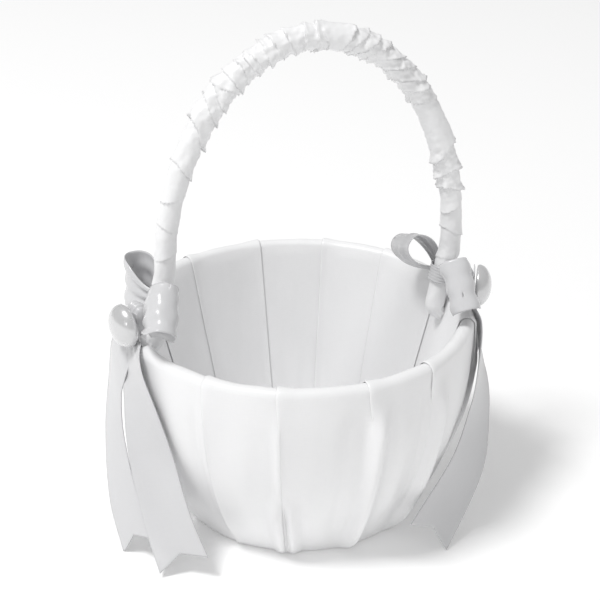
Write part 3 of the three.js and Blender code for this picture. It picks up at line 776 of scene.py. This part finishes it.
def build_floor_pad():
    """A card disc under satin: crowned, with its edge turned under and puckered."""
    radius, low, top = FLOOR_RADIUS - 0.8, FLOOR_HEIGHT + 0.1, PAD_TOP - 0.7
    outline = [(0.0, low)]
    outline += [(radius * share, low) for share in (0.25, 0.5, 0.72, 0.88, 0.96)]
    outline += [(radius - 0.2, low + 0.35), (radius, (low + top) / 2), (radius - 0.25, top - 0.3)]
    outline += [(radius * share, top) for share in (0.965, 0.9, 0.82, 0.72, 0.6, 0.48, 0.36, 0.24, 0.12)]
    outline += [(0.0, top)]
    rows = disc_rows(outline, 96)
    piece = grid_piece("floor_cushion", rows, lining_satin(), closed=True)
    swell(piece, 4.0, 0.0011)
    for vertex in piece.data.vertices:
        angle = math.atan2(vertex.co.y, vertex.co.x)
        edge = smoothstep(math.hypot(vertex.co.x, vertex.co.y) / MM, radius - 9, radius)
        if vertex.co.z > (low + 0.5) * MM:
            pucker = math.sin(angle * 34 + 2 * math.sin(angle * 5)) * 0.16
            vertex.co.z += pucker * edge * MM
    layer = piece.data.uv_layers.new(name="Cloth")
    for loop in piece.data.loops:
        layer.data[loop.index].uv = piece.data.vertices[loop.vertex_index].co.xy
    weld(piece)
    finer = piece.modifiers.new("Finer", "SUBSURF")
    finer.levels = finer.render_levels = 1
    return settle(piece, BASKET, "lining_satin", "floor_pad")


def build_underside():
    """The satin disc glued under the board, its raw edge pinked by small puckers."""
    radius = HEM_RADIUS - 1.6
    def wave(angle, at):
        return 0.05 * math.sin(angle * 40) * smoothstep(at, radius - 8, radius) + 0.05
    outline = [(radius * share, 0.36) for share in (0, 0.2, 0.4, 0.6, 0.75, 0.88, 0.96)]
    outline += [(radius, 0.42), (radius + 0.15, 0.55)]
    rows = disc_rows(outline, 120, wave)
    uvs = [[(p.x * MM, p.y * MM) for p in row] for row in rows]
    piece = grid_piece("underside_satin", rows, lining_satin(), closed=True, uvs=uvs, flip=True)
    weld(piece)
    thicken(piece, 0.25 * MM)
    return settle(piece, BASKET, "lining_satin", "underside_cover")


# ---- The handle ----
def handle_route():
    def shift(height):
        return HANDLE_OFFSET + (height - HANDLE_SPRING) * HANDLE_LEAN

    def leg(sign):
        spring = Vector((shift(HANDLE_SPRING) + sign * HANDLE_HALF, 0, HANDLE_SPRING))
        foot = Vector((sign * SLEEVE_FOOT.x, 0, SLEEVE_FOOT.z))
        tuck = [Vector((sign * p.x, 0, p.z)) for p in SLEEVE_TUCK]
        return [*tuck, foot, foot.lerp(spring, 1 / 3), foot.lerp(spring, 2 / 3)]

    arch = []
    for i in range(17):
        angle = math.pi * (1 - i / 16)
        height = HANDLE_SPRING + (HANDLE_CROWN - HANDLE_SPRING) * math.sin(angle)
        arch.append(Vector((shift(height) + HANDLE_HALF * math.cos(angle), 0, height)))
    return Route([*leg(-1), *arch, *leg(1)[::-1]])


TUCK_LENGTH = (SLEEVE_TUCK[0] - SLEEVE_TUCK[1]).length + (
    SLEEVE_TUCK[1] - Vector((SLEEVE_FOOT.x, 0, SLEEVE_FOOT.z))).length


def lap_relief(distance, around, seeds, settings):
    """How far the gathered sleeve stands out, and how far its edges lean over the next lap."""
    outer = math.cos(around)
    lift, lean = 0.0, 0.0
    for (place, ahead, height, length, faces), (phase, wobble) in zip(LAPS, seeds):
        edge = place + ahead * outer + wobble * math.sin(2 * around + phase)
        past = (distance - edge) * faces
        if past < -4 * length or past > 3:
            continue
        rise = height * (0.8 + 0.35 * math.sin(around * 2 + phase * 3)) * settings.gather
        if past <= 0:
            lift += rise * math.exp(past / length * 1.6) + 0.5 * rise * math.exp(past / 0.8)
            lean += faces * 0.9 * min(1.0, rise) * math.exp(past / 0.9)
        else:
            lift -= 0.3 * rise * math.exp(-past / 1.1)
    return lift, lean


def build_sleeve(settings):
    """The ruched satin tube over the handle: laps, fine creases, and feet sewn into the lining."""
    route = handle_route()
    random.seed(11)
    seeds = [(random.uniform(0, 6.28), random.uniform(-0.8, 0.8)) for _ in LAPS]
    side = Vector((0, 1, 0))
    steps = 620
    rows, uvs = [], []
    for i in range(steps + 1):
        walked = route.length * i / steps
        distance = walked - TUCK_LENGTH
        girth = table_value(SLEEVE_GIRTH, distance)
        at_end = smoothstep(min(walked, route.length - walked), 4, 16)
        busy = smoothstep(distance, 60, 110) * (1 - smoothstep(distance, 245, 262))
        for start, end in SMOOTH_RUNS:
            within = smoothstep(distance, start, start + 5) * (1 - smoothstep(distance, end - 5, end))
            busy *= 1 - 0.8 * within
        row, uv = [], []
        for j in range(settings.around):
            around = 2 * math.pi * j / settings.around
            outer = math.cos(around)
            lift, lean = lap_relief(distance, around, seeds, settings)
            fine = noise.noise(Vector((distance * 0.5, 2.4 * math.cos(around), 2.4 * math.sin(around))))
            wide = noise.noise(Vector((distance * 0.16, 1.2 * math.cos(around), 1.2 * math.sin(around) + 9)))
            inner_edge = smoothstep(-outer, 0.2, 1.0) * busy
            relief = fine * settings.crinkle / MM * (0.25 + 1.3 * busy + 0.9 * inner_edge)
            relief += wide * (0.3 + 0.35 * busy)
            gathers = 0.35 * math.sin(around * 9) * (1 - smoothstep(min(walked, route.length - walked), 2, 9))
            radius = girth + (lift + relief) * at_end + gathers * min(1.0, girth / 4)
            spot = route.at(walked + lean * at_end)
            tangent = route.direction(walked)
            outwards = tangent.cross(side)
            row.append(spot + (outwards * outer + side * math.sin(around)) * radius)
            uv.append((around * girth * MM, walked * MM))
        rows.append(row)
        uvs.append(uv)
    piece = grid_piece("ruched_sleeve", rows, cover_satin(), closed=True, uvs=uvs, flip=True)
    thicken(piece, 0.25 * MM)
    settle(piece, BASKET, "cover_satin", "handle_sleeve")
    return piece


def build_handle_foam():
    """The foam tube on the handle wire, a little lumpy under the satin."""
    route = handle_route()
    side = Vector((0, 1, 0))
    start, end = TUCK_LENGTH + 1, route.length - TUCK_LENGTH - 1
    rows, steps, sides = [], 120, 18
    stations = [start + (end - start) * i / steps for i in range(steps + 1)]
    for radius_inner in (False, True):
        sweep = stations[::-1] if radius_inner else stations
        for walked in sweep:
            tangent = route.direction(walked)
            outwards = tangent.cross(side)
            row = []
            for j in range(sides):
                around = 2 * math.pi * j / sides
                lump = 0.1 * noise.noise(Vector((walked * 0.3, math.cos(around), math.sin(around))))
                radius = 2.2 if radius_inner else 3.45 + lump
                away = outwards * math.cos(around) + side * math.sin(around)
                row.append(route.at(walked) + away * radius)
            rows.append(row)
    rows.append(rows[0])
    piece = grid_piece("handle_foam", rows, batting(), closed=True, flip=True)
    weld(piece)
    return settle(piece, BASKET, "batting", "handle_padding")


# ---- The bows ----
def bow_axes(sign):
    out = Vector((sign * math.sin(BOW_TURN), -math.cos(BOW_TURN), 0))
    forward = Vector((-sign * math.cos(BOW_TURN), -math.sin(BOW_TURN), 0))
    return out, forward


def knot_place(sign):
    return Vector((sign * KNOT.x, KNOT.y, KNOT.z))


def leg_at_knot(sign):
    """The handle leg beside the knot: its middle and its upward direction."""
    route = handle_route()
    low, high = 0.0, route.length / 3
    where = (lambda d: d) if sign < 0 else (lambda d: route.length - d)
    for _ in range(30):
        middle = (low + high) / 2
        if route.at(where(middle)).z < KNOT.z:
            low = middle
        else:
            high = middle
    up = route.direction(where(low))
    return route.at(where(low)), up if up.z > 0 else -up


LOOP_GAP = 7.6  # a loop opens to three quarters of this on each side of its middle line
LOOP_NECK = 0.45  # share of the ribbon's width where a loop enters the knot


def build_tie(side_name, sign, settings):
    """The ribbon round the handle leg, gathered as it is drawn to the knot."""
    leg, up = leg_at_knot(sign)
    to_knot = knot_place(sign) - leg
    x = (to_knot - up * to_knot.dot(up)).normalized()
    y = up.cross(x)
    reach = to_knot.dot(x) - KNOT_SIZE.y / 2 + 0.8
    outline = [Vector((reach, 0.7))]
    for i in range(33):
        angle = 0.35 + (2 * math.pi - 0.7) * i / 32
        outline.append(Vector((math.cos(angle), math.sin(angle))) * TIE_RADIUS)
    outline.append(Vector((reach, -0.7)))
    walked = lengths_along(outline)

    def at(index, k):
        spot, share = outline[index], k / 16 - 0.5
        narrow = 0.7 + 0.3 * smoothstep(reach - spot.x, 0, 8)
        crease = 0.28 * math.sin(k * 2.1 + 0.5 * math.sin(index * 0.4))
        flat = spot + spot.normalized() * crease
        place = leg + x * flat.x + y * flat.y + up * (share * TIE_HEIGHT * narrow)
        return place, (share * 0.022, walked[index] * MM)

    rows, uvs = patch(len(outline), 17, at)
    piece = grid_piece(f"{side_name}_tie_ribbon", rows, ribbon_satin(), uvs=uvs)
    thicken(piece, settings.ribbon_thickness, 0.0)
    return settle(piece, BASKET, "ribbon_satin", f"{side_name}_tie")


def build_knot(side_name, sign, settings):
    """The bow's knot: ribbon wrapped over the bow's waist in soft folds."""
    out, forward = bow_axes(sign)
    centre = knot_place(sign)

    def at(i, j):
        across, around = -1 + 2 * i / 32, 2 * math.pi * j / 56
        girth = math.sqrt(max(0.0, 1 - abs(across) ** 3.2))
        radius = girth * 0.96 + 0.05 * math.sin(i * 0.95 + 1.1 * math.sin(around * 2)) * girth
        place = (centre + forward * (across * KNOT_SIZE.x / 2)
                 + out * (math.cos(around) * radius * KNOT_SIZE.y / 2)
                 + UP * (math.sin(around) * radius * KNOT_SIZE.z / 2))
        return place, (across * 0.008, around * 0.005)

    rows, uvs = patch(33, 56, at)
    piece = grid_piece(f"{side_name}_bow_knot", rows, ribbon_satin(), closed=True, uvs=uvs, flip=sign > 0)
    thicken(piece, settings.ribbon_thickness)
    settle(piece, BASKET, "ribbon_satin", f"{side_name}_knot")
    build_knot_tab(side_name, sign, settings)


def build_knot_tab(side_name, sign, settings):
    """The flat turn of ribbon behind the pearl, from which the tails fall."""
    out, forward = bow_axes(sign)
    centre = knot_place(sign) + out * (KNOT_SIZE.y / 2 + 0.15)

    def at(i, k):
        drop, share = 5.5 - 13.4 * i / 18, k / 20 * 2 - 1
        half = 6.2 + 1.3 * smoothstep(-drop, 0, 8)
        crease = 0.22 * math.sin(share * 9) * smoothstep(-drop, -1, 6) - 0.5 * share * share
        return centre + forward * (share * half) + UP * drop + out * crease, (share * 0.011, drop * MM)

    rows, uvs = patch(19, 21, at)
    piece = grid_piece(f"{side_name}_pearl_backing", rows, ribbon_satin(), uvs=uvs)
    thicken(piece, settings.ribbon_thickness, 0.0)
    settle(piece, BASKET, "ribbon_satin")


def build_pearl(side_name, sign, settings):
    """A flat-backed half pearl with a rounded girdle."""
    out, forward = bow_axes(sign)
    back = knot_place(sign) + out * (KNOT_SIZE.y / 2 + 1.1) - UP * PEARL_DROP
    radius, height = settings.pearl_width / MM / 2, settings.pearl_height / MM
    girdle = 0.9
    outline = [(0.0, 0.0), (radius * 0.5, 0.0), (radius - 0.7, 0.0), (radius - 0.25, 0.18)]
    for i in range(22):
        angle = math.pi / 2 * i / 21
        outline.append((radius * math.cos(angle), girdle + (height - girdle) * math.sin(angle)))
    rows = []
    for across, lift in outline:
        row = []
        for j in range(72):
            around = 2 * math.pi * j / 72
            away = max(across, 0.001)
            row.append(back + out * lift + forward * (math.cos(around) * away)
                       + UP * (math.sin(around) * away))
        rows.append(row)
    piece = grid_piece(f"{side_name}_half_pearl", rows, pearl_lustre(), closed=True, flip=sign < 0)
    weld(piece)
    settle(piece, BASKET, "pearl", f"{side_name}_pearl")


def loop_outline(length, gap, count):
    """Half the section of a bow loop on each side of its tip, from the knot out and back."""
    near_gap = gap * 0.12
    points = []
    for sign in (-1, 1):
        ends = [Vector((0, sign * near_gap)), Vector((0.45 * length, sign * gap)),
                Vector((length, sign * gap)), Vector((length, 0))]
        half = []
        for k in range(count + 1):
            t = k / count
            half.append((1 - t) ** 3 * ends[0] + 3 * t * (1 - t) ** 2 * ends[1]
                        + 3 * t * t * (1 - t) * ends[2] + t ** 3 * ends[3])
        points += half if sign < 0 else half[::-1][1:]
    return points


def beside(sign, offset):
    """An offset on one side of the basket: outwards from the bowl, towards the back and up."""
    return Vector((sign * offset[0], offset[1], offset[2]))


def build_loop(side_name, which, sign, start, settings, phase):
    """One bow loop: ribbon gathered at the knot that opens to its full width at the turn."""
    out, _ = bow_axes(sign)
    loop = LOOPS[f"{side_name}_{which}"]
    root = start + beside(sign, loop["root"])
    reach = start + beside(sign, loop["tip"]) - root
    length = reach.length
    x = reach.normalized()
    flat = (out - x * out.dot(x)).normalized()
    turned = Matrix.Rotation(math.radians(loop["turn"]), 3, x)
    y = turned @ flat
    z = x.cross(y)
    width = settings.ribbon_width / MM
    rows, uvs, walked = [], [], 0.0
    outline = loop_outline(length - CLOTH_EASE, LOOP_GAP, 26)
    for index, spot in enumerate(outline):
        if index:
            walked += (spot - outline[index - 1]).length
        open_share = smoothstep(spot.x / length, 0.0, 0.72)
        fan = LOOP_NECK + (1 - LOOP_NECK) * open_share
        row, uv = [], []
        for k in range(25):
            share = k / 24 * 2 - 1
            crease = (0.34 + (1 - open_share) * 0.45) * math.sin(share * 8.5 + phase)
            crease += open_share * 0.35 * math.sin(share * 3.1 + phase * 2 + index * 0.08)
            edge = 0.1 if abs(share) > 0.93 else 0.0
            normal = 1 if index < len(outline) / 2 else -1
            sweep = 0.8 * open_share * share * share
            at = root + x * (spot.x + 0.5 * share * sweep) + y * (spot.y + normal * -(crease + edge))
            row.append(at + z * (share * width / 2 * fan))
            uv.append((share * width / 2 * MM, walked * MM))
        rows.append(row)
        uvs.append(uv)
    piece = grid_piece(f"{side_name}_{which}_loop_ribbon", rows, ribbon_satin(), uvs=uvs)
    thicken(piece, settings.ribbon_thickness, 0.0)
    settle(piece, BASKET, "ribbon_satin", f"{side_name}_{which}_loop")


def build_bow(side_name, sign, settings):
    build_tie(side_name, sign, settings)
    build_knot(side_name, sign, settings)
    build_pearl(side_name, sign, settings)
    build_loop(side_name, "front", sign, knot_place(sign), settings, 0.6 + sign)
    build_loop(side_name, "back", sign, leg_at_knot(sign)[0], settings, 2.2 + sign)


# ---- The tails ----
TAIL_SHAPES = {
    "left_front": {
        "cup": 1.0, "sway": 0.9,
        "phase": 0.0, "root": 12.0, "spread": 11.0, "along": 1, "turn": 28
    },
    "left_back": {
        "cup": -0.6, "sway": 0.7,
        "phase": 2.0, "root": 10.0, "spread": 15.0, "along": -1, "turn": 14
    },
    "right_front": {
        "cup": 0.8, "sway": 0.9,
        "phase": 4.0, "root": 11.0, "spread": 13.0, "along": 1, "turn": -34
    },
    "right_back": {
        "cup": -0.6, "sway": 0.6,
        "phase": 1.0, "root": 9.0, "spread": 16.0, "along": -1, "turn": 0
    },
}


def tail_root(sign, along):
    out, forward = bow_axes(sign)
    root = knot_place(sign) + out * (KNOT_SIZE.y / 2 + 0.2) + forward * (along * 2.8)
    root.z = TAIL_TOP
    return root


def build_tail(side_name, which, sign, settings):
    """One ribbon tail: gathered under the pearl, opening to full width, cut to a swallowtail."""
    key = f"{side_name}_{which}"
    shape = TAIL_SHAPES[key]
    out, _ = bow_axes(sign)
    hinge = tail_root(sign, shape["along"])
    top = hinge + UP * 3.0 - out * 0.3
    stations = [round_bowl(math.radians(a), r, h) for h, a, r in TAIL_ROUTES[key]]
    route = Route([top, hinge, *stations])
    width = settings.ribbon_width / MM
    notch = settings.notch / MM
    rows, uvs, steps = [], [], 110
    for i in range(steps + 1):
        share_down = i / steps
        row, uv = [], []
        for k in range(31):
            share = k / 30 * 2 - 1
            cut = (1 - abs(share)) * notch * smoothstep(share_down, 0.8, 1.0)
            walked = route.length * share_down - cut
            opened = smoothstep(walked, 1.5, shape["spread"])
            half = (shape["root"] + (width - shape["root"]) * opened) / 2
            middle = route.at(walked)
            down = route.direction(walked)
            radial = Vector((middle.x, middle.y, 0)).normalized()
            turned = math.radians(shape["turn"]) * smoothstep(share_down, 0.14, 0.65)
            facing = out.lerp(Matrix.Rotation(turned, 3, "Z") @ radial, opened)
            facing = (facing - down * facing.dot(down)).normalized()
            across = facing.cross(down)
            crease = (1 - opened) * 0.55 * math.sin(share * 10 + shape["phase"])
            crease += shape["cup"] * opened * (share * share - 0.4)
            crease += shape["sway"] * 0.5 * opened * math.sin(walked * 0.09 + shape["phase"] + share * 0.9)
            edge = 0.09 if abs(share) > 0.94 else 0.0
            spot = middle + across * (share * half) + facing * (crease + edge)
            spot.z = max(spot.z, FLOOR_GAP)
            row.append(spot)
            uv.append((share * width / 2 * MM, walked * MM))
        rows.append(row)
        uvs.append(uv)
    piece = grid_piece(f"{key}_tail_ribbon", rows, ribbon_satin(), uvs=uvs)
    thicken(piece, settings.ribbon_thickness, 0.0)
    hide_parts(f"{key}_tail")
    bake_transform(piece)


# ---- Stage ----
FLOOR_HALF = 3000.0
FLOOR_GLOW = 0.12  # lifts the floor to white
LIGHT_TARGET = (0, 0, 0.08)
KEY_PLACE, KEY_ACROSS = (-1.35, -0.35, 2.9), 0.8
FILL_PLACE, FILL_ACROSS = (-2.2, -2.0, 1.0), 0.6
FILL_SHARE = 0.05  # of the main light's power


def add_light(name, place, power, size):
    light = bpy.data.lights.new(name, "AREA")
    light.energy = power
    light.shape = "DISK"
    light.size = size
    lamp = bpy.data.objects.new(name, light)
    lamp.location = place
    lamp.rotation_euler = (Vector(LIGHT_TARGET) - Vector(place)).to_track_quat("-Z", "Y").to_euler()
    bpy.context.scene.collection.objects.link(lamp)


def plain_matte(name, colour, roughness):
    material = bpy.data.materials.new(name)
    material.use_nodes = True
    principled = material.node_tree.nodes["Principled BSDF"]
    principled.inputs["Base Color"].default_value = (*colour, 1)
    principled.inputs["Roughness"].default_value = roughness
    return material


def build_floor():
    corners = [Vector((x * FLOOR_HALF, y * FLOOR_HALF, 0)) for x, y in ((-1, -1), (1, -1), (1, 1), (-1, 1))]
    pale = plain_matte("pale floor", (0.93, 0.93, 0.93), 0.8)
    principled = pale.node_tree.nodes["Principled BSDF"]
    principled.inputs["Emission Color"].default_value = (1, 1, 1, 1)
    principled.inputs["Emission Strength"].default_value = FLOOR_GLOW
    floor = make_piece("studio_floor", corners, [(0, 1, 2, 3)], pale, smooth=False)


def build_camera(settings):
    scene = bpy.context.scene
    camera = bpy.data.cameras.new("camera")
    camera.lens = settings.lens
    camera.sensor_width = 36
    camera.clip_end = 50
    back = Vector((math.sin(settings.azimuth) * math.cos(settings.elevation),
                   -math.cos(settings.azimuth) * math.cos(settings.elevation),
                   math.sin(settings.elevation)))
    eye = bpy.data.objects.new("camera", camera)
    eye.location = Vector(settings.aim) + back * settings.distance
    eye.rotation_euler = (-back).to_track_quat("-Z", "Y").to_euler()
    scene.collection.objects.link(eye)
    scene.camera = eye


def build_world(strength):
    world = bpy.data.worlds.new("studio")
    world.use_nodes = True
    background = world.node_tree.nodes["Background"]
    background.inputs["Color"].default_value = (1, 1, 1, 1)
    background.inputs["Strength"].default_value = strength
    bpy.context.scene.world = world


# ---- Operators ----
class BASKET_OT_cover(bpy.types.Operator):
    """Make the pleated satin cover of the bowl"""
    bl_idname = "basket.cover"
    bl_label = "Pleated cover"

    def execute(self, context):
        build_cover(context.scene.basket_cover)
        return {"FINISHED"}


class BASKET_OT_padding(bpy.types.Operator):
    """Make the batting between the wire frame and the satin"""
    bl_idname = "basket.padding"
    bl_label = "Side batting"

    def execute(self, context):
        build_side_batting()
        return {"FINISHED"}


class BASKET_OT_floor(bpy.types.Operator):
    """Make the covered card on the floor of the bowl and the satin disc under it"""
    bl_idname = "basket.floor"
    bl_label = "Floor and underside"

    def execute(self, context):
        build_floor_pad()
        build_underside()
        return {"FINISHED"}


class BASKET_OT_frame(bpy.types.Operator):
    """Give the hoops, ribs, handle wire, board and tape their finishes"""
    bl_idname = "basket.frame"
    bl_label = "Frame finishes"

    def execute(self, context):
        finishes = {"rim_hoop": steel_wire(), "waist_hoop": steel_wire(), "base_hoop": steel_wire(),
                    "handle_wire": steel_wire(), "base_board": card(),
                    "left_wire_binding": cloth_tape(), "right_wire_binding": cloth_tape()}
        finishes.update({name: steel_wire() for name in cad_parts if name.startswith("rib_")})
        for name, material in finishes.items():
            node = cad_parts[name]
            for slot in node.material_slots:
                slot.material = material
        return {"FINISHED"}


class BASKET_OT_handle(bpy.types.Operator):
    """Make the ruched sleeve of the handle and the foam inside it"""
    bl_idname = "basket.handle"
    bl_label = "Handle"

    def execute(self, context):
        build_handle_foam()
        build_sleeve(context.scene.basket_handle)
        return {"FINISHED"}


class BASKET_OT_bows(bpy.types.Operator):
    """Make both bows: ties, knots, pearls and loops"""
    bl_idname = "basket.bows"
    bl_label = "Pearl bows"

    def execute(self, context):
        for side_name, sign in SIDES.items():
            build_bow(side_name, sign, context.scene.basket_bow)
        return {"FINISHED"}


class BASKET_OT_tails(bpy.types.Operator):
    """Make the four ribbon tails"""
    bl_idname = "basket.tails"
    bl_label = "Ribbon tails"

    def execute(self, context):
        for side_name, sign in SIDES.items():
            for which in ("front", "back"):
                build_tail(side_name, which, sign, context.scene.basket_bow)
        return {"FINISHED"}


class BASKET_OT_stage(bpy.types.Operator):
    """Set the floor, the lights and the camera"""
    bl_idname = "basket.stage"
    bl_label = "Stage"

    def execute(self, context):
        settings = context.scene.basket_stage
        build_floor()
        build_camera(settings)
        build_world(settings.world)
        add_light("key", KEY_PLACE, settings.key, KEY_ACROSS)
        add_light("fill", FILL_PLACE, settings.key * FILL_SHARE, FILL_ACROSS)
        context.scene.view_settings.view_transform = "Standard"
        return {"FINISHED"}


class VIEW3D_PT_basket(bpy.types.Panel):
    """The steps that make the basket, in order"""
    bl_label = "Flower Girl Basket"
    bl_idname = "VIEW3D_PT_basket"
    bl_space_type = "VIEW_3D"
    bl_region_type = "UI"
    bl_category = "Basket"

    def draw(self, context):
        layout = self.layout
        for step in STEPS:
            layout.operator(step.bl_idname)
        for group in SETTINGS:
            box = layout.box()
            settings = getattr(context.scene, group)
            for name in settings.bl_rna.properties.keys():
                if name not in ("rna_type", "name"):
                    box.prop(settings, name)


STEPS = [BASKET_OT_stage, BASKET_OT_frame, BASKET_OT_padding, BASKET_OT_floor, BASKET_OT_cover,
         BASKET_OT_handle, BASKET_OT_bows, BASKET_OT_tails]
SETTINGS = {"basket_cover": BasketCoverSettings, "basket_handle": BasketHandleSettings,
            "basket_bow": BasketBowSettings, "basket_stage": BasketStageSettings}


def register():
    for group in (*SETTINGS.values(), *STEPS, VIEW3D_PT_basket):
        bpy.utils.register_class(group)
    for name, group in SETTINGS.items():
        setattr(bpy.types.Scene, name, PointerProperty(type=group))


def unregister():
    for name in SETTINGS:
        delattr(bpy.types.Scene, name)
    for group in reversed((*SETTINGS.values(), *STEPS, VIEW3D_PT_basket)):
        bpy.utils.unregister_class(group)


def main():
    register()
    for step in STEPS:
        area, verb = step.bl_idname.split(".")
        getattr(getattr(bpy.ops, area), verb)()
    bpy.context.view_layer.update()


if __name__ == "__main__":
    main()
